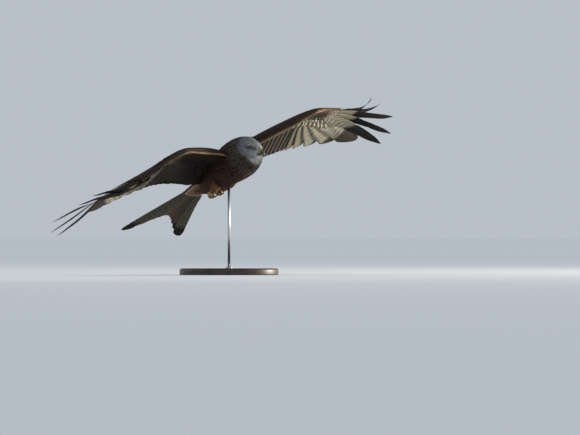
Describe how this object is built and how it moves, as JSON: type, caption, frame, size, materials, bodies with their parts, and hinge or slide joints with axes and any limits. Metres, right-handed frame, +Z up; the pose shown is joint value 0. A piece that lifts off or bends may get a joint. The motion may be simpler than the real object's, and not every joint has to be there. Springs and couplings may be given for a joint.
{
  "type": "red kite bird model",
  "caption": "Life-size still model of a gliding, banking bird of prey with a forked tail and fingered wings, held over a round base by a rod.",
  "frame": {"origin": "centre of the stand base's flat underside, on the surface that it stands on", "axes": "+Z up; +X roughly towards the tip of the bird's left wing; the bird heads towards -Y"},
  "size_m": [1.4313, 0.6135, 0.5421],
  "materials": {
    "plumage": "soft body feathers, dark brown with black shaft streaks and rufous edges",
    "crown": "small pale grey feathers with fine dark streaks",
    "wing": "vaned feathers, dark brown coverts, barred pale window under the hand, black tips",
    "tail": "vaned feathers, rufous above, pale below, dark corners",
    "cere": "smooth bare skin, yellow, satin",
    "bill": "polished dark horn",
    "eye": "clear wet cornea over a pale iris and round black pupil",
    "foot": "scaled bare skin, yellow, satin",
    "claw": "polished black horn",
    "base": "dark stained wood, satin lacquer",
    "rod": "brushed along its length"
  },
  "bodies": {
    "root": {"head": "crown", "neck": "plumage", "torso": "plumage", "cere": "cere", "bill_upper": "bill", "bill_lower": "bill", "eye_left": "eye", "eye_right": "eye", "wing_left_arm": "wing", "wing_left_hand": "wing", "wing_right_arm": "wing", "wing_right_hand": "wing", "tail_left": "tail", "tail_right": "tail", "leg_left": "plumage", "leg_right": "plumage", "foot_left": "foot", "foot_right": "foot", "claw_left_1": "claw", "claw_left_2": "claw", "claw_left_3": "claw", "claw_left_4": "claw", "claw_right_1": "claw", "claw_right_2": "claw", "claw_right_3": "claw", "claw_right_4": "claw", "stand_base": "base", "stand_rod": "rod"}
  },
  "joints": []
}
